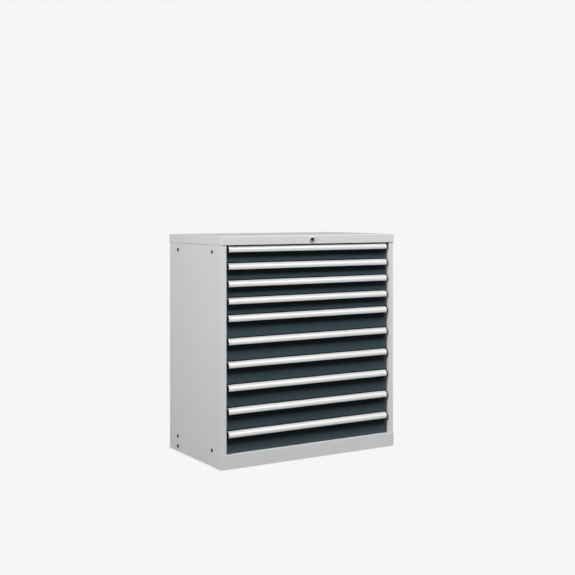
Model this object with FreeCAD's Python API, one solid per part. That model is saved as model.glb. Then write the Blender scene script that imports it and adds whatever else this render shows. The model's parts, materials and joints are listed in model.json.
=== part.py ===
import FreeCAD, Part
import math
import os

# A free-standing steel cabinet with ten full-width drawers under a folded cover.
# Millimetres, Z up, the fronts face -Y. The origin is at the bottom centre of the whole cabinet.

# Housing
body_width = 920.0
body_depth = 518.0
body_sheet = 1.5
body_bend = 2.5          # outer radius of a bend
post_width = 25.0        # front post, folded from the side panel
post_depth = 20.0
post_lip = 10.0
rear_flange = 20.0
foot_flange = 20.0
foot_gap = 1.0           # between the foot flange and its neighbours
back_top_flange = 30.0
back_foot = 15.0

# Drawer fronts, from the top down
small_pitch = 75.0
small_count = 4
large_pitch = 100.0
large_count = 6
front_gap = 4.5          # between one front and the next
base_clearance = 1.25    # between the base rail and the lowest drawer's space

# Cover
cap_skirt = 39.0
cap_sheet = 1.5
cap_gap = 1.0            # between the skirt and the housing
cap_bend = 3.5
cap_clearance = 1.75     # between the top drawer's space and the skirt

# Base rail
rail_height = 60.0
rail_sheet = 2.0
rail_bend = 2.5
rail_top_flange = 18.0
rail_foot_flange = 20.0
rail_return = 22.0       # round the housing's front corners

# Holes that join cabinets side by side
link_hole_radius = 7.0
link_hole_inset = 88.5   # from the front and from the back
link_hole_low = 68.5
link_hole_foot = 22.5
link_hole_drop = 71.0    # from the cover's top

# Floor pan and cross rail
floor_flange = 30.0
cross_rail_depth = 30.0
cross_rail_gap = 2.0     # above the skirt's lower edge

# Uprights
upright_width = 40.0
upright_front_inset = 36.0
upright_rear_inset = 35.0
upright_sheet = 1.5
slot_pitch = 50.0
slot_height = 16.0
slot_width = 6.0

# Telescopic runners
runner_space = 18.0      # between an upright and the drawer's side
runner_height = 45.0
runner_end_space = 41.0  # from a runner's rear end to the back panel
runner_lift = 10.0       # from the drawer's space up to the runner
runner_sheet = 1.5
runner_play = 1.0        # sideways, between two members
cage_height = 2.4
cage_width = 7.0
cage_length = 200.0
cage_clearance = 0.3

# Drawers
panel_recess = 19.0      # fronts behind the posts
panel_side_gap = 2.5
panel_return = 13.0
drawer_sheet = 1.2
drawer_bend = 2.0
drawer_end_space = 42.0  # from a drawer's back to the back panel
drawer_lift = 8.0
drawer_headroom = 12.0
drawer_rim = 6.0
runner_setback = 2.0     # behind the front's returns

# Handles
handle_height = 27.0
handle_inset = 11.0      # from the posts
handle_radius = 17.4
handle_offset = 1.0      # from the front to the centre of the curve
handle_wall = 2.0
handle_plate_height = 14.0
handle_bead = 1.0
bead_angle = 8.0
label_depth = 0.6
label_top_angle = 52.0
label_low_angle = -8.0

# Lock
lock_drop = 19.5         # from the cover's top to the lock's axis
lock_proud = 4.0
lock_flange_radius = 14.0
lock_flange_edge = 1.0
lock_body_radius = 9.5
lock_body_length = 28.0
lock_hole_clearance = 0.3
lock_wall_clearance = 0.1
plug_radius = 6.5
plug_head_radius = 9.0
plug_head_length = 4.0
plug_recess = 1.0
keyway_width = 2.4
keyway_height = 10.0
keyway_depth = 14.0
nut_width = 24.0         # across the flats
nut_thickness = 5.0

# Lock shaft and crank
shaft_radius = 5.0
shaft_bore_clearance = 0.1
crank_throw = 12.0
crank_swing = 90.0
crank_thickness = 4.0
crank_hub_radius = 8.0
crank_end_radius = 4.5
crank_gap = 1.0          # between the crank and the locking bar
pin_radius = 3.0
pin_play = 0.7           # above and below the pin in the bar's slot
bracket_sheet = 3.0
bracket_width = 30.0
bracket_foot = 14.0
bracket_setback = 12.0   # in front of the crank
bracket_below = 10.0

# Locking bar, its guides and the drawers' catches
bar_width = 30.0
bar_thickness = 3.0
bar_back_gap = 0.4
bar_head_reach = 24.0
bar_head_above = 7.0
bar_head_below = 14.0
bar_end = 5.0            # below the lowest hook
hook_width = 16.0
hook_sheet = 2.0
hook_lip = 12.0
hook_foot = 10.0         # welded to the bar
hook_gap = 2.5           # between a hook's lip and a catch's lip
hook_rest = 3.0          # locked hook above the catch's plate
catch_sheet = 1.5
catch_lip = 12.0
catch_foot = 10.0        # welded to the tray
catch_length = 21.0
catch_lift = 22.0
guide_sheet = 1.5
guide_gap = 0.4
guide_foot = 13.0
guide_height = 12.0
guide_every = 4          # a guide under every fourth drawer

# Worked out from the sizes above
pitches = [small_pitch] * small_count + [large_pitch] * large_count
cap_overhang = cap_sheet + cap_gap
drawer_base = rail_height + base_clearance
overall_height = drawer_base + sum(pitches) + cap_clearance + cap_skirt
overall_depth = body_depth + 2 * cap_overhang + lock_proud
front = -overall_depth / 2 + lock_proud + cap_overhang    # the posts' faces
back = front + body_depth
half_body = body_width / 2
half_inside = half_body - body_sheet
half_opening = half_body - post_width
panel_top = overall_height - cap_sheet
side_top = panel_top - (cap_bend - cap_sheet)              # clear of the cover's inner bend
cap_low = overall_height - cap_skirt
back_face = back - 2 * body_sheet                         # the back panel's inner face
floor_top = rail_height - rail_sheet
half_drawer = half_opening - runner_space
half_front = half_opening - panel_side_gap
half_handle = half_opening - handle_inset
panel_face = front + panel_recess
drawer_back = back_face - drawer_end_space
drawer_depth = drawer_back - panel_face
runner_front = panel_face + panel_return + runner_setback
runner_length = back_face - runner_end_space - runner_front
cage_gap = cage_height + 2 * cage_clearance
member_step = runner_sheet + cage_gap                     # from one member's edge to the next one's
member_reach = runner_space - runner_sheet - runner_play
fixed_web = -half_opening
middle_web = fixed_web + runner_sheet + runner_play
drawer_web = -half_drawer
lock_height = overall_height - lock_drop
cap_face = front - cap_overhang
bar_front = back_face - bar_back_gap - bar_thickness
crank_front = bar_front - crank_gap - crank_thickness
pin_rise = crank_throw * math.sin(math.radians(crank_swing / 2))
pin_reach = crank_throw * math.cos(math.radians(crank_swing / 2))
bar_travel = 2 * pin_rise


def point(x, y, z):
    return FreeCAD.Vector(x, y, z)


def block(x_range, y_range, z_range):
    sizes = [high - low for low, high in (x_range, y_range, z_range)]
    return Part.makeBox(*sizes, point(x_range[0], y_range[0], z_range[0]))


def rod_along_y(radius, x, z, y_range):
    return Part.makeCylinder(radius, y_range[1] - y_range[0], point(x, y_range[0], z), point(0, 1, 0))


def mirrored(shape):
    return shape.mirror(point(0, 0, 0), point(1, 0, 0))


def pair(shape):
    return [shape, mirrored(shape)]


def joined(first, *others):
    return first.fuse(list(others)).removeSplitter()


def solids_of(shapes):
    return Part.makeCompound([solid for shape in shapes for solid in shape.Solids])


# A line with a tangent arc at each corner, as a press brake leaves it
def bent_line(points, radius):
    edges = []
    start = points[0]
    for before, corner, after in zip(points, points[1:], points[2:]):
        arriving = (corner - before).normalize()
        leaving = (after - corner).normalize()
        turn = arriving.getAngle(leaving)
        reach = radius * math.tan(turn / 2)
        bulge = radius / math.cos(turn / 2) - radius
        arc_start = corner - arriving * reach
        arc_end = corner + leaving * reach
        middle = corner + (leaving - arriving).normalize() * bulge
        edges.append(Part.LineSegment(start, arc_start).toShape())
        edges.append(Part.Arc(arc_start, middle, arc_end).toShape())
        start = arc_end
    edges.append(Part.LineSegment(start, points[-1]).toShape())
    return Part.Wire(edges)


# Sheet metal to the left of an outer line, carried along a direction
def folded_sheet(points, radius, sheet, along):
    section = bent_line(points, radius).makeOffset2D(-sheet, 0, True, True)
    return section.extrude(along)


def bar_of(points, along):
    return Part.Face(Part.makePolygon(points + points[:1])).extrude(along)


# Side panel: one folded sheet with the front post, the rear flange and a foot
def link_holes():
    top = overall_height - link_hole_drop
    near = front + link_hole_inset
    far = back - link_hole_inset
    places = [(near, link_hole_low), (near, top), (far, link_hole_foot), (far, link_hole_low), (far, top)]
    start = -half_body - body_sheet
    tools = []
    for y, z in places:
        tools.append(Part.makeCylinder(link_hole_radius, 3 * body_sheet, point(start, y, z), point(1, 0, 0)))
    return tools


def side_panel():
    post_inside = -half_opening
    outline = [
        point(-half_body + rear_flange, back, 0),
        point(-half_body, back, 0),
        point(-half_body, front, 0),
        point(post_inside, front, 0),
        point(post_inside, front + post_depth, 0),
        point(post_inside - post_lip, front + post_depth, 0),
    ]
    wall = folded_sheet(outline, body_bend, body_sheet, point(0, 0, side_top))
    foot = block(
        (-half_inside, -half_body + foot_flange),
        (front + post_depth + foot_gap, back_face - back_foot - foot_gap),
        (0, body_sheet),
    )
    return joined(wall, foot).cut(link_holes())


def back_panel():
    outer = back - body_sheet
    half = half_inside - (body_bend - body_sheet)
    outline = [
        point(-half, outer - back_foot, 0),
        point(-half, outer, 0),
        point(-half, outer, panel_top),
        point(-half, outer - back_top_flange, panel_top),
    ]
    return folded_sheet(outline, body_bend, body_sheet, point(2 * half, 0, 0))


# Cover: a folded and welded lid with rounded edges, open below
def rounded_lid(half_width, y_range, z_range, radius):
    lid = block((-half_width, half_width), y_range, z_range)
    edges = []
    for edge in lid.Edges:
        middle = edge.CenterOfMass
        upright = abs(edge.BoundBox.ZLength) > radius
        if upright or abs(middle.z - z_range[1]) < radius:
            edges.append(edge)
    return lid.makeFillet(radius, edges)


def top_cover():
    half_cap = half_body + cap_overhang
    outer = rounded_lid(half_cap, (cap_face, back + cap_overhang), (cap_low, overall_height), cap_bend)
    inner = rounded_lid(
        half_cap - cap_sheet,
        (cap_face + cap_sheet, back + cap_gap),
        (cap_low - cap_sheet, panel_top),
        cap_bend - cap_sheet,
    )
    hole = rod_along_y(lock_body_radius + lock_hole_clearance, 0, lock_height, (cap_face, front))
    return outer.cut([inner, hole])


# Base rail: a channel across the front whose ends turn round the corners
def base_rail():
    reach = half_body + rail_sheet
    outline = [
        point(-reach, front + rail_return, 0),
        point(-reach, front - rail_sheet, 0),
        point(reach, front - rail_sheet, 0),
        point(reach, front + rail_return, 0),
    ]
    face = folded_sheet(outline, rail_bend, rail_sheet, point(0, 0, rail_height))
    inside = (-half_opening, half_opening)
    flange = block(inside, (front, panel_face + rail_top_flange), (floor_top, rail_height))
    foot = block(inside, (front, front + rail_foot_flange), (0, rail_sheet))
    return joined(face, flange, foot)


def floor_pan():
    low = floor_top - floor_flange
    outline = [
        point(-half_opening, back_face, low),
        point(-half_opening, back_face, floor_top),
        point(-half_opening, front, floor_top),
        point(-half_opening, front, low),
    ]
    return folded_sheet(outline, body_bend, body_sheet, point(2 * half_opening, 0, 0))


def cross_rail():
    low = cap_low + cross_rail_gap
    outline = [
        point(-half_opening, front + cross_rail_depth, panel_top),
        point(-half_opening, front, panel_top),
        point(-half_opening, front, low),
        point(-half_opening, front + cross_rail_depth, low),
    ]
    channel = folded_sheet(outline, body_bend, body_sheet, point(2 * half_opening, 0, 0))
    hole_radius = lock_body_radius + lock_hole_clearance
    return channel.cut(rod_along_y(hole_radius, 0, lock_height, (front - body_sheet, front + 2 * body_sheet)))


# Upright: a slotted channel behind the runners, open towards the side panel
def upright(y_start):
    outline = [
        point(-half_inside, y_start, body_sheet),
        point(-half_opening, y_start, body_sheet),
        point(-half_opening, y_start + upright_width, body_sheet),
        point(-half_inside, y_start + upright_width, body_sheet),
    ]
    channel = folded_sheet(outline, body_bend, upright_sheet, point(0, 0, cap_low - body_sheet))
    middle = y_start + upright_width / 2
    count = int((cap_low - rail_height) / slot_pitch)
    slots = []
    for step in range(count):
        centre = rail_height + (step + 0.5) * slot_pitch
        slots.append(block(
            (-half_opening - 2 * upright_sheet, -half_opening + upright_sheet),
            (middle - slot_width / 2, middle + slot_width / 2),
            (centre - slot_height / 2, centre + slot_height / 2),
        ))
    return channel.cut(slots)


# Runner members are channels. The left side is drawn: the upright is at -half_opening.
def runner_member(web_face, lip_end, low, high):
    toward = math.copysign(runner_sheet, lip_end - web_face)
    y = runner_front
    section = [
        point(web_face, y, low),
        point(lip_end, y, low),
        point(lip_end, y, low + runner_sheet),
        point(web_face + toward, y, low + runner_sheet),
        point(web_face + toward, y, high - runner_sheet),
        point(lip_end, y, high - runner_sheet),
        point(lip_end, y, high),
        point(web_face, y, high),
    ]
    return bar_of(section, point(0, runner_length, 0))


def fixed_member(low):
    lip = fixed_web + member_reach - runner_sheet - runner_play
    return runner_member(fixed_web, lip, low, low + runner_height)


def middle_member(low):
    lip = fixed_web + member_reach
    return runner_member(middle_web, lip, low + member_step, low + runner_height - member_step)


def drawer_member(low):
    lip = middle_web + runner_sheet + runner_play
    inset = 2 * member_step
    return runner_member(drawer_web, lip, low + inset, low + runner_height - inset)


# Ball cages fill the gaps between the members' edges, above and below
def ball_cages(low):
    cages = []
    start = runner_front + (runner_length - cage_length) / 2
    y_range = (start, start + cage_length)
    for level, web in ((0, middle_web), (1, middle_web + runner_sheet + runner_play)):
        base = low + level * member_step + runner_sheet + cage_clearance
        top = low + runner_height - (base - low)
        x_range = (web + cage_clearance, web + cage_clearance + cage_width)
        cages.append(block(x_range, y_range, (base, base + cage_height)))
        cages.append(block(x_range, y_range, (top - cage_height, top)))
    return cages


# Drawer: a folded trough with an end wall, a pan-shaped front and a catch at the back
def drawer_front(low, high):
    outer = block((-half_front, half_front), (panel_face, panel_face + panel_return), (low, high))
    hollow = block(
        (-half_front + drawer_sheet, half_front - drawer_sheet),
        (panel_face + drawer_sheet, panel_face + panel_return),
        (low + drawer_sheet, high - drawer_sheet),
    )
    return outer.cut(hollow)


def drawer_catch(low):
    side = -hook_width / 2
    end = drawer_back + catch_length
    profile = [
        point(side, drawer_back, low - catch_foot),
        point(side, drawer_back + catch_sheet, low - catch_foot),
        point(side, drawer_back + catch_sheet, low),
        point(side, end, low),
        point(side, end, low + catch_lip),
        point(side, end - catch_sheet, low + catch_lip),
        point(side, end - catch_sheet, low + catch_sheet),
        point(side, drawer_back, low + catch_sheet),
    ]
    return bar_of(profile, point(hook_width, 0, 0))


def drawer_tray(space_low, pitch):
    low = space_low + drawer_lift
    high = space_low + pitch - drawer_headroom
    start = panel_face + drawer_sheet
    outline = [
        point(half_drawer + drawer_rim, start, high),
        point(half_drawer, start, high),
        point(half_drawer, start, low),
        point(-half_drawer, start, low),
        point(-half_drawer, start, high),
        point(-half_drawer - drawer_rim, start, high),
    ]
    trough = folded_sheet(outline, drawer_bend, drawer_sheet, point(0, drawer_depth - drawer_sheet, 0))
    half_wall = half_drawer - drawer_bend
    end_wall = block((-half_wall, half_wall), (drawer_back - drawer_sheet, drawer_back), (low, high))
    pan = drawer_front(space_low + front_gap / 2, space_low + pitch - front_gap / 2)
    return solids_of([joined(trough, end_wall, pan), drawer_catch(low + catch_lift)])


# Handle: an extruded strip with a curved face, a label groove and a hollow for the fingers
def handle_arc(radius, start_angle, end_angle, top):
    places = []
    for angle in (start_angle, (start_angle + end_angle) / 2, end_angle):
        turn = math.radians(angle)
        y = panel_face - handle_offset - radius * math.cos(turn)
        z = top - handle_radius + radius * math.sin(turn)
        places.append(point(-half_handle, y, z))
    return places


def handle(top):
    inner_radius = handle_radius - handle_wall
    low_angle = -math.degrees(math.asin((handle_height - handle_radius) / handle_radius))
    plate_angle = math.degrees(math.acos((handle_wall - handle_offset) / inner_radius))
    arcs = [
        handle_arc(handle_radius, 90, label_top_angle, top),
        handle_arc(handle_radius - label_depth, label_top_angle, label_low_angle, top),
        handle_arc(handle_radius, label_low_angle, low_angle, top),
        handle_arc(inner_radius - handle_bead, low_angle, low_angle + bead_angle, top),
        handle_arc(inner_radius, low_angle + bead_angle, plate_angle, top),
    ]
    plate = [
        point(-half_handle, panel_face - handle_wall, top - handle_plate_height),
        point(-half_handle, panel_face, top - handle_plate_height),
        point(-half_handle, panel_face, top),
    ]
    edges = []
    last = plate[-1]
    for start, middle, end in arcs:
        edges.append(Part.LineSegment(last, start).toShape())
        edges.append(Part.Arc(start, middle, end).toShape())
        last = end
    for corner in plate:
        edges.append(Part.LineSegment(last, corner).toShape())
        last = corner
    return Part.Face(Part.Wire(edges)).extrude(point(2 * half_handle, 0, 0))


# Lock: a flanged case held by a nut, with a plug that turns in it
def lock_case():
    face = cap_face - lock_proud
    flange = rod_along_y(lock_flange_radius, 0, lock_height, (face, cap_face))
    outer_edges = [edge for edge in flange.Edges if edge.BoundBox.YMax < cap_face]
    flange = flange.makeChamfer(lock_flange_edge, outer_edges)
    body = rod_along_y(lock_body_radius, 0, lock_height, (cap_face, cap_face + lock_body_length))
    bore = rod_along_y(plug_radius + lock_wall_clearance, 0, lock_height, (face, cap_face + lock_body_length))
    head_end = face + plug_recess + plug_head_length + lock_wall_clearance
    seat = rod_along_y(plug_head_radius + lock_wall_clearance, 0, lock_height, (face, head_end))
    return joined(flange, body).cut([bore, seat])


def lock_nut():
    start = front + body_sheet
    corner = nut_width / 2 / math.cos(math.pi / 6)
    corners = []
    for step in range(6):
        turn = math.pi / 3 * step
        corners.append(point(corner * math.cos(turn), start, lock_height + corner * math.sin(turn)))
    hexagon = bar_of(corners, point(0, nut_thickness, 0))
    bore_radius = lock_body_radius + lock_wall_clearance
    return hexagon.cut(rod_along_y(bore_radius, 0, lock_height, (front, start + nut_width)))


def lock_plug():
    start = cap_face - lock_proud + plug_recess
    head = rod_along_y(plug_head_radius, 0, lock_height, (start, start + plug_head_length))
    stem = rod_along_y(plug_radius, 0, lock_height, (start, cap_face + lock_body_length))
    keyway = block(
        (-keyway_width / 2, keyway_width / 2),
        (start, start + keyway_depth),
        (lock_height - keyway_height / 2, lock_height + keyway_height / 2),
    )
    return joined(head, stem).cut(keyway)


# Shaft from the plug to a crank at the back, whose pin lifts the locking bar
def lock_shaft():
    start = cap_face + lock_body_length
    y_range = (crank_front, crank_front + crank_thickness)
    shaft = rod_along_y(shaft_radius, 0, lock_height, (start, y_range[1]))
    hub = rod_along_y(crank_hub_radius, 0, lock_height, y_range)
    end = rod_along_y(crank_end_radius, crank_throw, lock_height, y_range)
    arm = block(
        (0, crank_throw), y_range, (lock_height - crank_end_radius, lock_height + crank_end_radius)
    )
    pin = rod_along_y(pin_radius, crank_throw, lock_height, (y_range[0], back_face - bar_back_gap))
    crank = joined(hub, end, arm, pin)
    crank.rotate(point(0, 0, lock_height), point(0, 1, 0), -crank_swing / 2)
    return joined(shaft, crank)


def shaft_bracket():
    leg = crank_front - bracket_setback
    outline = [
        point(-bracket_width / 2, leg + bracket_foot, panel_top - body_sheet),
        point(-bracket_width / 2, leg, panel_top - body_sheet),
        point(-bracket_width / 2, leg, lock_height - shaft_radius - bracket_below),
    ]
    bracket = folded_sheet(outline, bracket_sheet + body_sheet, bracket_sheet, point(bracket_width, 0, 0))
    bore_radius = shaft_radius + shaft_bore_clearance
    return bracket.cut(rod_along_y(bore_radius, 0, lock_height, (leg - body_sheet, leg + 2 * bracket_sheet)))


# Levels of one drawer's catch and of the hook above it, with the bar raised
def catch_level(space_low):
    return space_low + drawer_lift + catch_lift


def hook_level(space_low):
    return catch_level(space_low) + catch_sheet + hook_rest + bar_travel


def bar_hook(space_low):
    low = hook_level(space_low)
    plate = low + hook_lip
    side = -hook_width / 2
    lip_end = drawer_back + catch_length - catch_sheet - hook_gap
    profile = [
        point(side, lip_end - hook_sheet, low),
        point(side, lip_end, low),
        point(side, lip_end, plate),
        point(side, bar_front - hook_sheet, plate),
        point(side, bar_front - hook_sheet, plate - hook_foot),
        point(side, bar_front, plate - hook_foot),
        point(side, bar_front, plate + hook_sheet),
        point(side, lip_end - hook_sheet, plate + hook_sheet),
    ]
    return bar_of(profile, point(hook_width, 0, 0))


def locking_bar(lows):
    pin_level = lock_height + pin_rise
    head_low = pin_level - bar_head_below
    y_range = (bar_front, bar_front + bar_thickness)
    strip = block((-bar_width / 2, bar_width / 2), y_range, (hook_level(lows[-1]) - bar_end, head_low))
    head = block((-bar_width / 2, bar_head_reach), y_range, (head_low, pin_level + bar_head_above))
    slot_half = pin_radius + pin_play
    slot_levels = (pin_level - slot_half, pin_level + slot_half)
    slot = block((pin_reach - slot_half, crank_throw + slot_half), y_range, slot_levels)
    return solids_of([joined(strip, head).cut(slot)] + [bar_hook(low) for low in lows])


def bar_guide(level):
    foot_face = back_face - guide_sheet
    bridge = bar_front - guide_gap - guide_sheet
    side = bar_width / 2 + guide_gap + guide_sheet
    low = level - guide_height / 2
    outline = [
        point(-side - guide_foot, foot_face, low),
        point(-side, foot_face, low),
        point(-side, bridge, low),
        point(side, bridge, low),
        point(side, foot_face, low),
        point(side + guide_foot, foot_face, low),
    ]
    section = Part.makePolygon(outline).makeOffset2D(-guide_sheet, 2, True, True)
    return section.extrude(point(0, 0, guide_height))


def drawer_levels():
    levels = []
    level = drawer_base + sum(pitches)
    for pitch in pitches:
        level -= pitch
        levels.append(level)
    return levels


def housing(lows):
    fixed = [fixed_member(low + runner_lift) for low in lows]
    front_upright = upright(front + upright_front_inset)
    rear_upright = upright(back - upright_rear_inset - upright_width)
    return {
        "side_panel_left": side_panel(),
        "side_panel_right": mirrored(side_panel()),
        "back_panel": back_panel(),
        "top_cover": top_cover(),
        "base_rail": base_rail(),
        "floor_pan": floor_pan(),
        "cross_rail": cross_rail(),
        "upright_front_left": front_upright,
        "upright_front_right": mirrored(front_upright),
        "upright_rear_left": rear_upright,
        "upright_rear_right": mirrored(rear_upright),
        "cabinet_runners_left": solids_of(fixed),
        "cabinet_runners_right": mirrored(solids_of(fixed)),
        "shaft_bracket": shaft_bracket(),
        "bar_guides": solids_of([bar_guide(low) for low in lows[::guide_every]]),
        "lock_case": lock_case(),
        "lock_nut": lock_nut(),
        "lock_plug": lock_plug(),
        "lock_shaft": lock_shaft(),
        "locking_bar": locking_bar(lows),
    }


def drawer(name, low, pitch):
    runner_low = low + runner_lift
    middle = [middle_member(runner_low)] + ball_cages(runner_low)
    return {
        name + "_tray": drawer_tray(low, pitch),
        name + "_handle": handle(low + pitch - front_gap / 2),
        name + "_rails": solids_of(pair(drawer_member(runner_low))),
        name + "_carriages": solids_of(pair(solids_of(middle))),
    }


def main():
    lows = drawer_levels()
    nodes = housing(lows)
    for number, (low, pitch) in enumerate(zip(lows, pitches), start=1):
        nodes.update(drawer(f"drawer_{number:02d}", low, pitch))
    os.makedirs("parts", exist_ok=True)
    for name, shape in nodes.items():
        shape.exportStep(f"parts/{name}.step")
    print(len(nodes), "nodes, height", overall_height, "bar travel", round(bar_travel, 3))


main()
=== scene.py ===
import json
import math

import bmesh
import bpy
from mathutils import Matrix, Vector

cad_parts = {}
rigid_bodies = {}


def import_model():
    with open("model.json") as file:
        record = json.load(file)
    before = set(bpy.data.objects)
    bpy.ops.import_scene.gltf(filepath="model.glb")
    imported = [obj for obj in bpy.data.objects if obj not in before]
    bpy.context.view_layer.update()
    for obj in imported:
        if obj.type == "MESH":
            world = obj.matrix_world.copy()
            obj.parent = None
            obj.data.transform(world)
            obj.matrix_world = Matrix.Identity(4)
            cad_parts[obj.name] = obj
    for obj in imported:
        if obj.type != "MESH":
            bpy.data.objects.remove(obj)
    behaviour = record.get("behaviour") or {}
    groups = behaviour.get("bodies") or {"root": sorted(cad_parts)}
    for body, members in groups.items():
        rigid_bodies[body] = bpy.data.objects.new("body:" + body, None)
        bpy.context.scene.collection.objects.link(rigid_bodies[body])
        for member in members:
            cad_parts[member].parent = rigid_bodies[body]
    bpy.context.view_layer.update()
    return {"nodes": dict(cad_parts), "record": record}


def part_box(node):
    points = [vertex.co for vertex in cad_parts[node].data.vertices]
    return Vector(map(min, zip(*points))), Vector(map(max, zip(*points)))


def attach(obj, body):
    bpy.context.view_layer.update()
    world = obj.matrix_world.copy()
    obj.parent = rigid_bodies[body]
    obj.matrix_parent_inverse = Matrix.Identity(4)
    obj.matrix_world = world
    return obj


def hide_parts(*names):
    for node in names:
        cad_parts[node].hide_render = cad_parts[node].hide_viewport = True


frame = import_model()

mm = 0.001
nodes = frame["nodes"]
drawerNames = sorted(name[:-len("_tray")] for name in nodes if name.endswith("_tray"))
print("frame loaded:", len(nodes), "nodes,", len(drawerNames), "drawers")


# Shader values written as sums and products
class Signal:
    def __init__(self, bench, socket):
        self.bench = bench
        self.socket = socket

    def work(self, operation, *values):
        return self.bench.node("ShaderNodeMath", {"operation": operation}, dict(enumerate(values)))

    def __add__(self, other):
        return self.work("ADD", self, other)

    def __sub__(self, other):
        return self.work("SUBTRACT", self, other)

    def __rsub__(self, other):
        return self.work("SUBTRACT", other, self)

    def __mul__(self, other):
        return self.work("MULTIPLY", self, other)

    def within(self, low, high):     # 0 below low, 1 above high, smooth between
        sockets = {"Value": self, "From Min": low, "From Max": high}
        return self.bench.node("ShaderNodeMapRange", {"interpolation_type": "SMOOTHSTEP"}, sockets)

    __radd__ = __add__
    __rmul__ = __mul__


class Bench:
    def __init__(self, owner):
        self.owner = owner
        if isinstance(owner, bpy.types.NodeTree):
            self.tree = owner
        else:
            owner.use_nodes = True
            self.tree = owner.node_tree
            self.tree.nodes.clear()

    def node(self, kind, settings=None, sockets=None, output=0):
        made = self.tree.nodes.new(kind)
        for key, value in (settings or {}).items():
            setattr(made, key, value)
        for key, value in (sockets or {}).items():
            if isinstance(value, Signal):
                self.tree.links.new(value.socket, made.inputs[key])
            elif isinstance(value, list):
                for part in value:
                    self.tree.links.new(part.socket, made.inputs[key])
            else:
                made.inputs[key].default_value = value
        return Signal(self, made.outputs[output] if made.outputs else None)

    def given(self, label):          # one of a geometry tree's own inputs
        return self.node("NodeGroupInput", output=label)

    def mix(self, share, first, second):
        sockets = {0: share, 6: first, 7: second}
        return self.node("ShaderNodeMix", {"data_type": "RGBA"}, sockets, 2)

    def place(self, stretch=(1, 1, 1)):
        spot = self.node("ShaderNodeTexCoord", output="Object")
        return self.node("ShaderNodeMapping", None, {"Vector": spot, "Scale": stretch})

    def noise(self, scale, detail=2.0, stretch=(1, 1, 1)):
        sockets = {"Vector": self.place(stretch), "Scale": scale, "Detail": detail}
        return self.node("ShaderNodeTexNoise", None, sockets, "Fac")

    def edges(self, radius):         # the rounded normal, and how near an edge is
        rounded = self.node("ShaderNodeBevel", {"samples": 4}, {"Radius": radius})
        flat = self.node("ShaderNodeNewGeometry", output="Normal")
        likeness = self.node("ShaderNodeVectorMath", {"operation": "DOT_PRODUCT"}, {0: rounded, 1: flat}, "Value")
        return rounded, 1 - likeness

    def finish(self, sockets):
        surface = self.node("ShaderNodeBsdfPrincipled", None, sockets)
        self.node("ShaderNodeOutputMaterial", None, {"Surface": surface})
        return self.owner


def shade(red, green, blue):         # a colour as a picture shows it, 0 to 255
    return (*[((part / 255 + 0.055) / 1.055) ** 2.4 for part in (red, green, blue)], 1)


def tinted(colour, factor):
    return (*[min(1, part * factor) for part in colour[:3]], 1)


housingCoat = {"colour": shade(212, 213, 215), "roughness": 0.54, "peel": 520, "edge": 0.0016}
drawerCoat = {"colour": shade(54, 70, 76), "roughness": 0.42, "peel": 620, "edge": 0.0012}
coatGrain = {
    "cloud": 4, "dust": 2600, "dustShare": 0.25, "wear": 90, "wearShare": 0.3, "bump": 0.2, "depth": 0.0003,
}


def powderCoat(name, look):
    bench = Bench(bpy.data.materials.new(name))
    peel = bench.noise(look["peel"], 1.5)
    cloud = bench.noise(coatGrain["cloud"], 3)
    dust = bench.noise(coatGrain["dust"], 2)
    rounded, nearEdge = bench.edges(look["edge"])
    worn = nearEdge.within(0.05, 0.35) * bench.noise(coatGrain["wear"], 4).within(0.45, 0.7)
    colour = bench.mix(cloud, tinted(look["colour"], 0.975), tinted(look["colour"], 1.025))
    colour = bench.mix(dust.within(0.62, 0.8) * coatGrain["dustShare"], colour, tinted(look["colour"], 0.85))
    colour = bench.mix(worn * coatGrain["wearShare"], colour, tinted(look["colour"], 1.15))
    roughness = look["roughness"] + (peel - 0.5) * 0.12 + (cloud - 0.5) * 0.06
    normal = bench.node("ShaderNodeBump", None, {
        "Strength": coatGrain["bump"], "Distance": coatGrain["depth"],
        "Height": peel + dust * coatGrain["dustShare"], "Normal": rounded,
    })
    return bench.finish({"Base Color": colour, "Roughness": roughness, "Normal": normal})


gripMetal = {"colour": (0.62, 0.625, 0.63, 1), "roughness": 0.5, "metallic": 0.2, "lines": 1800}


def anodisedGrip(name, look):
    bench = Bench(bpy.data.materials.new(name))
    drawn = bench.noise(look["lines"], 2, (0.004, 1, 1))      # lines along the extrusion
    cloud = bench.noise(6, 2)
    colour = bench.mix(drawn, tinted(look["colour"], 0.96), tinted(look["colour"], 1.02))
    roughness = look["roughness"] + (drawn - 0.5) * 0.2 + (cloud - 0.5) * 0.06
    normal = bench.node("ShaderNodeBump", None, {"Strength": 0.12, "Distance": 0.0002, "Height": drawn})
    sockets = {"Base Color": colour, "Roughness": roughness, "Metallic": look["metallic"], "Normal": normal}
    return bench.finish(sockets)


zincPlate = {
    "colour": (0.56, 0.575, 0.59, 1), "yellowed": (0.6, 0.57, 0.47, 1), "roughness": 0.36, "spangle": 70,
}


def zincPlated(name, look):
    bench = Bench(bpy.data.materials.new(name))
    sockets = {"Vector": bench.place(), "Scale": look["spangle"]}
    spangle = bench.node("ShaderNodeTexVoronoi", None, sockets, "Color")
    grain = bench.node("ShaderNodeSeparateColor", None, {"Color": spangle})
    streaks = bench.noise(240, 3, (1, 0.06, 1))
    colour = bench.mix(grain, tinted(look["colour"], 0.9), tinted(look["colour"], 1.1))
    colour = bench.mix(bench.noise(9, 3).within(0.5, 0.75) * 0.35, colour, look["yellowed"])
    roughness = look["roughness"] + (grain - 0.5) * 0.1 + (streaks - 0.5) * 0.16
    normal = bench.node("ShaderNodeBump", None, {"Strength": 0.15, "Distance": 0.0002, "Height": streaks})
    return bench.finish({"Base Color": colour, "Roughness": roughness, "Metallic": 1.0, "Normal": normal})


nickel = {"colour": (0.78, 0.78, 0.79, 1), "roughness": 0.36, "metallic": 0.7}
# near black; also the colour of the hole caps, where it is painted shade
blackCore = {"colour": (0.014, 0.014, 0.015, 1), "roughness": 0.8, "metallic": 0.0}


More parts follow.
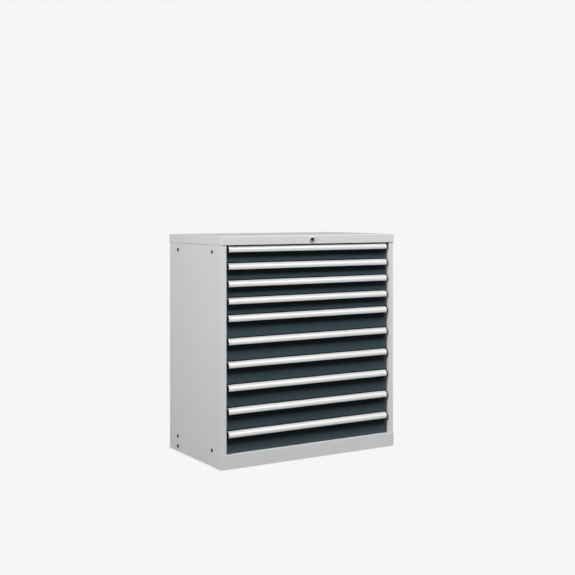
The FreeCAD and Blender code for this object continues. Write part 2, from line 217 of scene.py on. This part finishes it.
def lockFinish(name, look):
    bench = Bench(bpy.data.materials.new(name))
    turned = bench.noise(1500, 2)
    rounded, nearEdge = bench.edges(0.0005)
    # edges painted lighter: a painted highlight along every rim
    colour = bench.mix(nearEdge.within(0.1, 0.5) * 0.5, look["colour"], tinted(look["colour"], 1.6))
    roughness = look["roughness"] + (turned - 0.5) * 0.15
    normal = bench.node("ShaderNodeBump", None, {
        "Strength": 0.1, "Distance": 0.0001, "Height": turned, "Normal": rounded,
    })
    sockets = {"Base Color": colour, "Roughness": roughness, "Metallic": look["metallic"], "Normal": normal}
    return bench.finish(sockets)


cardStock = {"colour": (0.54, 0.54, 0.537, 1), "roughness": 0.5, "fibre": 900, "gloss": 0.3, "glossRoughness": 0.25}


def cardPaper(name, look):
    bench = Bench(bpy.data.materials.new(name))
    fibre = bench.noise(look["fibre"], 3, (0.4, 1, 1))
    cloud = bench.noise(12, 2)
    colour = bench.mix(fibre, tinted(look["colour"], 0.97), tinted(look["colour"], 1.02))
    colour = bench.mix(cloud.within(0.5, 0.8) * 0.3, colour, tinted(look["colour"], 0.95))
    roughness = look["roughness"] + (fibre - 0.5) * 0.1
    normal = bench.node("ShaderNodeBump", None, {"Strength": 0.1, "Distance": 0.0001, "Height": fibre})
    return bench.finish({
        "Base Color": colour, "Roughness": roughness, "Normal": normal,
        "Coat Weight": look["gloss"], "Coat Roughness": look["glossRoughness"],
    })


finishes = {
    "housing_paint": powderCoat("housingCoat", housingCoat),
    "drawer_paint": powderCoat("drawerCoat", drawerCoat),
    "handle_aluminium": anodisedGrip("gripMetal", gripMetal),
    "zinc_steel": zincPlated("zincPlate", zincPlate),
    "lock_metal": lockFinish("nickel", nickel),
    "lock_black": lockFinish("blackCore", blackCore),
    "label_card": cardPaper("cardStock", cardStock),
}
for row in frame["record"]["subparts"]:
    target = nodes[row["node"]]
    target.data.materials.clear()
    target.data.materials.append(finishes[row["material_slot"]])
print("finishes made:", ", ".join(finishes))


# Pieces: a mesh in place, with its finish, its body and the node that it stands for
sharpTurn = math.radians(32)
mergeWithin = 1e-6


def addPiece(name, mesh, body, slot, *stands):
    form = bmesh.new()
    form.from_mesh(mesh)
    bmesh.ops.remove_doubles(form, verts=form.verts, dist=mergeWithin)
    bmesh.ops.recalc_face_normals(form, faces=form.faces)
    form.to_mesh(mesh)
    form.free()
    mesh.materials.clear()
    mesh.materials.append(finishes[slot])
    mesh.shade_smooth()
    mesh.set_sharp_from_angle(angle=sharpTurn)
    piece = bpy.data.objects.new(name, mesh)
    bpy.context.scene.collection.objects.link(piece)
    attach(piece, body)
    if stands:
        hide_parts(*stands)
    return piece


def placesMesh(name, places, closed=False):
    mesh = bpy.data.meshes.new(name)
    count = len(places)
    edges = [(index, (index + 1) % count) for index in range(count)] if closed else []
    mesh.from_pydata([[part * mm for part in place] for place in places], edges, [])
    return mesh


# Geometry trees
def startTree(name, sizes):
    tree = bpy.data.node_groups.new(name, "GeometryNodeTree")
    for label, kind in sizes.items():
        tree.interface.new_socket(label, in_out="INPUT", socket_type="NodeSocket" + kind)
    tree.interface.new_socket("Geometry", in_out="OUTPUT", socket_type="NodeSocketGeometry")
    return Bench(tree)


def endTree(bench, shape):
    real = bench.node("GeometryNodeRealizeInstances", None, {"Geometry": shape})
    coated = bench.node("GeometryNodeSetMaterial", None, {"Geometry": real, "Material": bench.given("Material")})
    bench.node("NodeGroupOutput", None, {"Geometry": coated})
    return bench.tree


def stripTree():                     # an outline swept along X
    bench = startTree("sweptStrip", {"Geometry": "Geometry", "Length": "Float", "Material": "Material"})
    half = bench.given("Length") * 0.5
    left = bench.node("ShaderNodeCombineXYZ", None, {"X": half * -1})
    right = bench.node("ShaderNodeCombineXYZ", None, {"X": half})
    path = bench.node("GeometryNodeCurvePrimitiveLine", None, {"Start": left, "End": right})
    outline = bench.node("GeometryNodeMeshToCurve", None, {"Mesh": bench.given("Geometry")})
    sockets = {"Curve": path, "Profile Curve": outline, "Fill Caps": True}
    return endTree(bench, bench.node("GeometryNodeCurveToMesh", None, sockets))


def rowTree(name, shapeSizes, along, makeShape):       # a row of one shape from each given point
    sizes = {"Geometry": "Geometry", "Count": "Int", "Pitch": "Float", **shapeSizes, "Material": "Material"}
    bench = startTree(name, sizes)
    step = bench.node("ShaderNodeVectorMath", {"operation": "SCALE"}, {0: along, "Scale": bench.given("Pitch")})
    line = bench.node("GeometryNodeMeshLine", None, {"Count": bench.given("Count"), "Offset": step})
    lines = bench.node("GeometryNodeInstanceOnPoints", None, {"Points": bench.given("Geometry"), "Instance": line})
    spots = bench.node("GeometryNodeRealizeInstances", None, {"Geometry": lines})
    sockets = {"Points": spots, "Instance": makeShape(bench)}
    return endTree(bench, bench.node("GeometryNodeInstanceOnPoints", None, sockets))


def grow(name, mesh, tree, values, body, slot, *stands):
    seed = bpy.data.objects.new(name + "Seed", mesh)
    bpy.context.scene.collection.objects.link(seed)
    modifier = seed.modifiers.new("grow", "NODES")
    modifier.node_group = tree
    values = {**values, "Material": finishes[slot]}
    for socket in tree.interface.items_tree:
        if socket.in_out == "INPUT" and socket.name in values:
            modifier[socket.identifier] = values[socket.name]
    ready = seed.evaluated_get(bpy.context.evaluated_depsgraph_get())
    grown = bpy.data.meshes.new_from_object(ready)
    bpy.data.objects.remove(seed)
    return addPiece(name, grown, body, slot, *stands)


def topOf(node):                     # in millimetres, as every size below
    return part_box(node)[1][2] / mm


def lowOf(node):
    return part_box(node)[0][2] / mm


# Grips: an extrusion with a groove for a card, a finger hollow and a rounded lower lip.
# Sizes are in millimetres, turns in degrees up from the front
grip = {
    "length": 845.6, "axis": -239.0, "face": -238.0, "radius": 17.4, "wall": 2.0, "plate": 14.0, "turnStep": 3.0,
    "groove": 0.6, "grooveTop": 52.0, "grooveLow": -8.0, "grooveEdge": 0.8, "bedEdge": 1.4,
    "lowTurn": -33.3, "lip": 1.0, "lipTurn": 8.0, "lipRound": 3.0, "lipEdge": 0.35, "lipEdgeTurn": 1.2,
    "endSetback": 1.5, "innerTop": 86.0, "footRound": 0.4,
}
card = {"length": 845.0, "thickness": 0.25, "play": 0.02, "margin": 0.6}


def arcPlaces(radius, start, end):
    count = max(1, round(abs(end - start) / grip["turnStep"]))
    turns = [math.radians(start + (end - start) * step / count) for step in range(count + 1)]
    return [(-radius * math.cos(turn), radius * math.sin(turn)) for turn in turns]


def sweptOutline(name, places, top):     # the sweep turns an outline's X and Y to -Y and -Z
    return placesMesh(name, [(-(grip["axis"] + y), -(top - grip["radius"] + z), 0) for y, z in places], True)


def gripOutline():
    outer, low, high = grip["radius"], grip["grooveLow"], grip["grooveTop"]
    bed, inner, end = outer - grip["groove"], outer - grip["wall"], grip["lowTurn"]
    lip = inner - grip["lip"]
    lipStart, lipEnd = end + grip["lipRound"], end + grip["lipTurn"]
    places = [(grip["face"] - grip["axis"], outer)]
    places += arcPlaces(outer, 90, high + grip["grooveEdge"])
    places += arcPlaces(bed, high + grip["bedEdge"], low - grip["bedEdge"])
    places += arcPlaces(outer, low - grip["grooveEdge"], lipStart)
    edge, edgeTurn = grip["lipEdge"], end + grip["lipEdgeTurn"]
    for radius, turn in ((outer - edge, edgeTurn), (outer - grip["endSetback"], end), (lip + edge, edgeTurn)):
        places += arcPlaces(radius, turn, turn)[:1]
    places += arcPlaces(lip, lipStart, lipEnd) + arcPlaces(inner, lipEnd + grip["lipRound"], grip["innerTop"])
    foot, inside, rounding = outer - grip["plate"], places[0][0] - grip["wall"], grip["footRound"]
    return places + [(inside, foot + rounding), (inside + rounding, foot), (places[0][0], foot)]


def cardOutline():
    bed = grip["radius"] - grip["groove"] + card["play"]
    high, low = grip["grooveTop"] - card["margin"], grip["grooveLow"] + card["margin"]
    return arcPlaces(bed + card["thickness"], high, low) + arcPlaces(bed, low, high)


endCap = {
    "place": 423.4, "thickness": 1.2, "inset": 0.02, "shortTurn": 0.5, "foot": 1.0,
    "hollow": [(-9.5, -4.5), (-4.0, 1.5)],
}


def endCapForm(form, top):               # one at each end, closing the hollow
    places = [(grip["face"] - grip["axis"], grip["radius"])]
    places += arcPlaces(grip["radius"] - endCap["inset"], 90, grip["lowTurn"] + endCap["shortTurn"])
    foot = grip["radius"] - grip["plate"]
    places += endCap["hollow"] + [(-endCap["foot"], foot), (endCap["foot"], foot)]
    half = endCap["thickness"] / 2
    for side in (-endCap["place"], endCap["place"]):
        rings = []
        for x in (side - half, side + half):
            spots = [Vector((x, grip["axis"] + y, top - grip["radius"] + z)) * mm for y, z in places]
            rings.append([form.verts.new(spot) for spot in spots])
        form.faces.new(rings[0])
        form.faces.new(reversed(rings[1]))
        for index in range(len(places)):
            after = (index + 1) % len(places)
            form.faces.new((rings[0][index], rings[1][index], rings[1][after], rings[0][after]))


def meshOf(name, form):
    mesh = bpy.data.meshes.new(name)
    form.to_mesh(mesh)
    form.free()
    return mesh


sweptStrip = stripTree()
for drawer in drawerNames:
    top = topOf(drawer + "_handle")
    outline = sweptOutline("gripOutline", gripOutline(), top)
    values = {"Length": grip["length"] * mm}
    grow(drawer + "_grip", outline, sweptStrip, values, drawer, "handle_aluminium", drawer + "_handle")
    outline = sweptOutline("cardOutline", cardOutline(), top)
    grow(drawer + "_card", outline, sweptStrip, {"Length": card["length"] * mm}, drawer, "label_card")
    form = bmesh.new()
    endCapForm(form, top)
    addPiece(drawer + "_endCaps", meshOf("endCaps", form), drawer, "lock_black")
print("grips and cards made:", len(drawerNames))


# Ribs that guide dividers, on the front and rear walls inside each drawer
divider = {
    "front": -236.8, "rear": 214.8, "reach": 400.0, "count": 33, "sides": 8, "width": 2.2, "foot": 16.0, "head": 18.0,
}


def ribShape(bench):
    sockets = {"Vertices": divider["sides"], "Radius": bench.given("Width") * 0.5, "Depth": bench.given("Height")}
    return bench.node("GeometryNodeMeshCylinder", None, sockets)


ribRow = rowTree("ribRow", {"Width": "Float", "Height": "Float"}, (1, 0, 0), ribShape)
for drawer in drawerNames:
    low, high = lowOf(drawer + "_tray") + divider["foot"], topOf(drawer + "_tray") - divider["head"]
    middle = (low + high) / 2
    starts = placesMesh("ribStarts", [(-divider["reach"], y, middle) for y in (divider["front"], divider["rear"])])
    values = {
        "Count": divider["count"], "Pitch": 2 * divider["reach"] / (divider["count"] - 1) * mm,
        "Width": divider["width"] * mm, "Height": (high - low) * mm,
    }
    grow(drawer + "_ribs", starts, ribRow, values, drawer, "drawer_paint")
print("divider ribs made")


# Pressed bosses across each drawer's floor
boss = {
    "reach": 400.0, "count": 17, "first": -190.0, "rows": 7, "rowPitch": 60.0, "radius": 5.6, "crown": 3.6,
    "height": 1.7, "sides": 12, "level": 6.85,
}


def bossShape(bench):
    sockets = {"Vertices": boss["sides"], "Radius Top": bench.given("Crown"), "Radius Bottom": bench.given("Radius")}
    return bench.node("GeometryNodeMeshCone", None, {**sockets, "Depth": bench.given("Height")})


bossRow = rowTree("bossRow", {"Crown": "Float", "Radius": "Float", "Height": "Float"}, (1, 0, 0), bossShape)
for drawer in drawerNames:
    level = lowOf(drawer + "_tray") + boss["level"]
    places = [(-boss["reach"], boss["first"] + row * boss["rowPitch"], level) for row in range(boss["rows"])]
    values = {
        "Count": boss["count"], "Pitch": 2 * boss["reach"] / (boss["count"] - 1) * mm,
        "Crown": boss["crown"] * mm, "Radius": boss["radius"] * mm, "Height": boss["height"] * mm,
    }
    grow(drawer + "_bosses", placesMesh("bossStarts", places), bossRow, values, drawer, "drawer_paint")
print("floor bosses made")


# Balls in the runners' cages
ballRows = {
    "radius": 1.4, "count": 13, "pitch": 15.0, "first": -93.0, "height": 45.0, "drop": 1.8, "segments": 8, "rings": 5,
    "tracks": [(428.7, 3.0), (426.2, 7.5)],      # out from the middle, and in from the runner's edges
}


def ballShape(bench):
    sockets = {"Segments": ballRows["segments"], "Rings": ballRows["rings"], "Radius": bench.given("Radius")}
    return bench.node("GeometryNodeMeshUVSphere", None, sockets)


ballRow = rowTree("ballRow", {"Radius": "Float"}, (0, 1, 0), ballShape)
for drawer in drawerNames:
    foot = lowOf(drawer + "_carriages") - ballRows["drop"]
    places = []
    for across, lift in ballRows["tracks"]:
        for level in (foot + lift, foot + ballRows["height"] - lift):
            places += [(side * across, ballRows["first"], level) for side in (-1, 1)]
    values = {"Count": ballRows["count"], "Pitch": ballRows["pitch"] * mm, "Radius": ballRows["radius"] * mm}
    body = drawer.replace("drawer", "carriage")
    grow(drawer + "_balls", placesMesh("ballStarts", places), ballRow, values, body, "zinc_steel")
print("balls placed")


# Screws that hold the back panel
backScrews = {
    "across": 450.0, "face": 261.0, "seat": 0.05, "low": 70.0, "pitch": 120.0, "count": 8, "radius": 4.6,
    "head": 1.9, "washerSides": 20, "washerHeight": 0.6, "hexagonRadius": 0.66, "hexagonHeight": 2,
}


def screwShape(bench):
    radius, head = bench.given("Head Radius"), bench.given("Head Height")
    washer = bench.node("GeometryNodeMeshCylinder", None, {
        "Vertices": backScrews["washerSides"], "Radius": radius, "Depth": head * backScrews["washerHeight"],
    })
    hexagon = bench.node("GeometryNodeMeshCylinder", None, {
        "Vertices": 6, "Radius": radius * backScrews["hexagonRadius"], "Depth": head * backScrews["hexagonHeight"],
    })
    both = bench.node("GeometryNodeJoinGeometry", None, {"Geometry": [washer, hexagon]})
    return bench.node("GeometryNodeTransform", None, {"Geometry": both, "Rotation": (math.pi / 2, 0, 0)})


screwRow = rowTree("screwRow", {"Head Radius": "Float", "Head Height": "Float"}, (0, 0, 1), screwShape)
behind = backScrews["face"] + backScrews["seat"]
starts = [(side * backScrews["across"], behind, backScrews["low"]) for side in (-1, 1)]
values = {
    "Count": backScrews["count"], "Pitch": backScrews["pitch"] * mm,
    "Head Radius": backScrews["radius"] * mm, "Head Height": backScrews["head"] * mm,
}
grow("backScrews", placesMesh("screwStarts", starts), screwRow, values, "cabinet", "zinc_steel")
print("screws placed")


# Turned parts: an outline of (radius, place along the axis) taken once round
def turnedForm(form, outline, centre, axis, count):
    axis = Vector(axis)
    across = axis.orthogonal().normalized()
    upward = axis.cross(across)
    rings = []
    for step in range(count):
        turn = 2 * math.pi * step / count
        way = across * math.cos(turn) + upward * math.sin(turn)
        spots = [Vector(centre) + axis * along + way * radius for radius, along in outline]
        rings.append([form.verts.new(spot * mm) for spot in spots])
    for step in range(count):
        ring, other = rings[step], rings[(step + 1) % count]
        for index in range(len(outline)):
            after = (index + 1) % len(outline)
            form.faces.new((ring[index], ring[after], other[after], other[index]))


# Black caps in the side panels' holes: painted shade, a dark fill put where the holes show shade. A rim is given
# inward from the radius and back from the face.
holeShadeCap = {
    "radius": 8.6, "stem": 6.95, "face": 461.1, "wall": 460.02, "inside": 456.0, "bevel": 0.5, "bevelLength": 1,
    "rim": [(0.0, 0.6), (0.25, 0.2), (0.9, 0.0), (2.2, 0.0)], "dish": 0.5, "dishEdge": 3, "centre": 0.001,
    "segments": 28, "places": [(-168.5, 68.5), (-168.5, 931.0), (172.5, 22.5), (172.5, 68.5), (172.5, 931.0)],
}


def holeShadeCapOutline():
    radius, stem, face, wall = holeShadeCap["radius"], holeShadeCap["stem"], holeShadeCap["face"], holeShadeCap["wall"]
    inside, dish = holeShadeCap["inside"], face - holeShadeCap["dish"]
    outline = [(holeShadeCap["centre"], inside), (stem - holeShadeCap["bevel"], inside)]
    outline += [(stem, inside + holeShadeCap["bevelLength"]), (stem, wall), (radius, wall)]
    outline += [(radius - inward, face - back) for inward, back in holeShadeCap["rim"]]
    return outline + [(radius - holeShadeCap["dishEdge"], dish), (holeShadeCap["centre"], dish)]


# painted shade: black caps that darken the side panels' holes
form = bmesh.new()
for side in (-1, 1):
    for y, z in holeShadeCap["places"]:
        turnedForm(form, holeShadeCapOutline(), (0, y, z), (side, 0, 0), holeShadeCap["segments"])
addPiece("holeCaps", meshOf("holeCaps", form), "cabinet", "lock_black")
print("hole caps made")


# Lock case with a rounded flange
lockCase = {
    "height": 982.5, "face": -263.5, "skirt": -259.5, "end": -231.5, "flange": 14.0, "body": 9.5, "bore": 6.6,
    "seat": 9.1, "seatEdge": 0.35, "seatDepth": 5.1, "rim": [(1.6, 0.0), (0.9, 0.15), (0.25, 0.7), (0.0, 1.5)],
    "segments": 72,
}


def lockCaseOutline():
    face, skirt, end = lockCase["face"], lockCase["skirt"], lockCase["end"]
    seat, seatEdge, floor = lockCase["seat"], lockCase["seatEdge"], face + lockCase["seatDepth"]
    outline = [(seat, face + seatEdge), (seat + seatEdge, face)]
    outline += [(lockCase["flange"] - inward, face + back) for inward, back in lockCase["rim"]]
    outline += [(lockCase["flange"], skirt), (lockCase["body"], skirt), (lockCase["body"], end)]
    return outline + [(lockCase["bore"], end), (lockCase["bore"], floor), (seat, floor)]


form = bmesh.new()
turnedForm(form, lockCaseOutline(), (0, 0, lockCase["height"]), (0, 1, 0), lockCase["segments"])
addPiece("lockCaseTurned", meshOf("lockCaseTurned", form), "cabinet", "lock_metal", "lock_case")
print("lock case made")


# Camera, floor and light. A lamp with "only" lights only the pieces whose names end so, and one with "skips" the rest.
cameraView = {"place": (-2.5447, -4.1858, 1.1086), "heading": 31.59, "lens": 64.951, "shift": -0.13242}
studio = {
    "backdrop": shade(246, 246, 246), "dome": 0.15, "low": 0.2, "high": 0.9, "ambient": 0.015,
    "towards": (-0.25, -0.97, 0), "fadeStart": -0.6, "fadeEnd": 0.4,
    "floorReach": 40, "floorBounce": 0.06, "contactShadowReach": 0.03, "contactShadowTone": 0.25,
}
innerParts = ("_tray", "_ribs", "_bosses")
lamps = [
    {"name": "front", "place": (3.1, -4.9, 4.6), "aim": (0.1, -0.25, 0.5),
     "size": 2.2, "power": 434, "skips": innerParts},
    {"name": "left", "place": (-4.7, -1.5, 2.8), "aim": (-0.2, -0.1, 0.5),
     "size": 2.4, "power": 252, "skips": innerParts},
    {"name": "over", "place": (0.0, -2.3, 5.4), "aim": (0, -0.25, 0.55),
     "size": 2.3, "power": 660, "only": innerParts},
    {"name": "low", "place": (0.2, -3.2, 0.15), "aim": (0, -0.25, 0.5),
     "size": 2.4, "tall": 0.25, "power": 32, "only": ("_grip", "_card")},
    {"name": "rear", "place": (2.4, 4.8, 0.55), "aim": (0, 0.25, 0.55),
     "size": 3.2, "tall": 0.8, "power": 240, "skips": innerParts},
    {"name": "top", "place": (0.4, 0.6, 5.6), "aim": (0, 0, 1),
     "size": 2.4, "power": 32},
    {"name": "right", "place": (5.0, 0.0, 0.55), "aim": (0.4, 0, 0.55),
     "size": 0.5, "tall": 0.8, "power": 105, "skips": innerParts},
]


def makeCamera():
    lens = bpy.data.cameras.new("camera")
    lens.lens, lens.shift_y, lens.clip_end = cameraView["lens"], cameraView["shift"], 100
    camera = bpy.data.objects.new("camera", lens)
    camera.location = cameraView["place"]
    camera.rotation_euler = (math.pi / 2, 0, -math.radians(cameraView["heading"]))
    bpy.context.scene.collection.objects.link(camera)
    bpy.context.scene.camera = camera


def makeBackdrop():
    world = bpy.data.worlds.new("studio")
    bench = Bench(world)
    seen = bench.node("ShaderNodeLightPath", output="Is Camera Ray")
    way = bench.node("ShaderNodeTexCoord", output="Generated")
    height = bench.node("ShaderNodeSeparateXYZ", None, {"Vector": way}, "Z")
    sockets = {0: way, 1: studio["towards"]}
    facing = bench.node("ShaderNodeVectorMath", {"operation": "DOT_PRODUCT"}, sockets, "Value")
    lit = height.within(studio["low"], studio["high"]) * facing.within(studio["fadeStart"], studio["fadeEnd"])
    glow = lit * studio["dome"] + studio["ambient"]
    dome = bench.node("ShaderNodeBackground", None, {"Color": (1, 1, 1, 1), "Strength": glow})
    plain = bench.node("ShaderNodeBackground", None, {"Color": studio["backdrop"], "Strength": 1.0})
    both = bench.node("ShaderNodeMixShader", None, {0: seen, 1: dome, 2: plain})
    bench.node("ShaderNodeOutputWorld", None, {"Surface": both})
    bpy.context.scene.world = world


def makeFloor():
    mesh = bpy.data.meshes.new("floor")
    reach = studio["floorReach"]
    corners = [(-reach, -reach, 0), (reach, -reach, 0), (reach, reach, 0), (-reach, reach, 0)]
    mesh.from_pydata(corners, [], [(0, 1, 2, 3)])
    floor = bpy.data.objects.new("floor", mesh)
    bpy.context.scene.collection.objects.link(floor)
    bench = Bench(bpy.data.materials.new("floorPaper"))
    seen = bench.node("ShaderNodeLightPath", output="Is Camera Ray")
    # painted contact shadow: the evenly glowing floor is darkened where ambient occlusion finds the cabinet near
    sockets = {"Distance": studio["contactShadowReach"]}
    contact = bench.node("ShaderNodeAmbientOcclusion", {"samples": 8}, sockets, "AO")
    shadowColour = tinted(studio["backdrop"], studio["contactShadowTone"])
    tone = bench.mix(contact.within(0.0, 0.9), shadowColour, studio["backdrop"])
    glow = bench.node("ShaderNodeEmission", None, {"Color": tone})
    bounce = studio["floorBounce"]
    paper = bench.node("ShaderNodeBsdfDiffuse", None, {"Color": (bounce, bounce, bounce, 1)})
    both = bench.node("ShaderNodeMixShader", None, {0: seen, 1: paper, 2: glow})
    bench.node("ShaderNodeOutputMaterial", None, {"Surface": both})
    mesh.materials.append(bench.owner)


def makeLamp(lamp):
    data = bpy.data.lights.new(lamp["name"], "AREA")
    data.shape, data.size, data.energy = "ELLIPSE", lamp["size"], lamp["power"]
    data.size_y = lamp.get("tall", lamp["size"])
    light = bpy.data.objects.new(lamp["name"], data)
    light.location = lamp["place"]
    way = Vector(lamp["aim"]) - light.location
    light.rotation_euler = way.to_track_quat("-Z", "Y").to_euler()
    bpy.context.scene.collection.objects.link(light)
    kind = "only" if "only" in lamp else "skips"
    if kind not in lamp:
        return
    group = bpy.data.collections.new(lamp["name"] + "Group")
    for thing in bpy.context.scene.objects:
        if thing.name.endswith(lamp[kind]):
            group.objects.link(thing)
    for link in group.collection_objects:
        link.light_linking.link_state = "INCLUDE" if kind == "only" else "EXCLUDE"
    light.light_linking.receiver_collection = group


makeCamera()
makeBackdrop()
makeFloor()
for lamp in lamps:
    makeLamp(lamp)
bpy.context.scene.view_settings.view_transform = "Standard"
print("camera, floor and light placed")
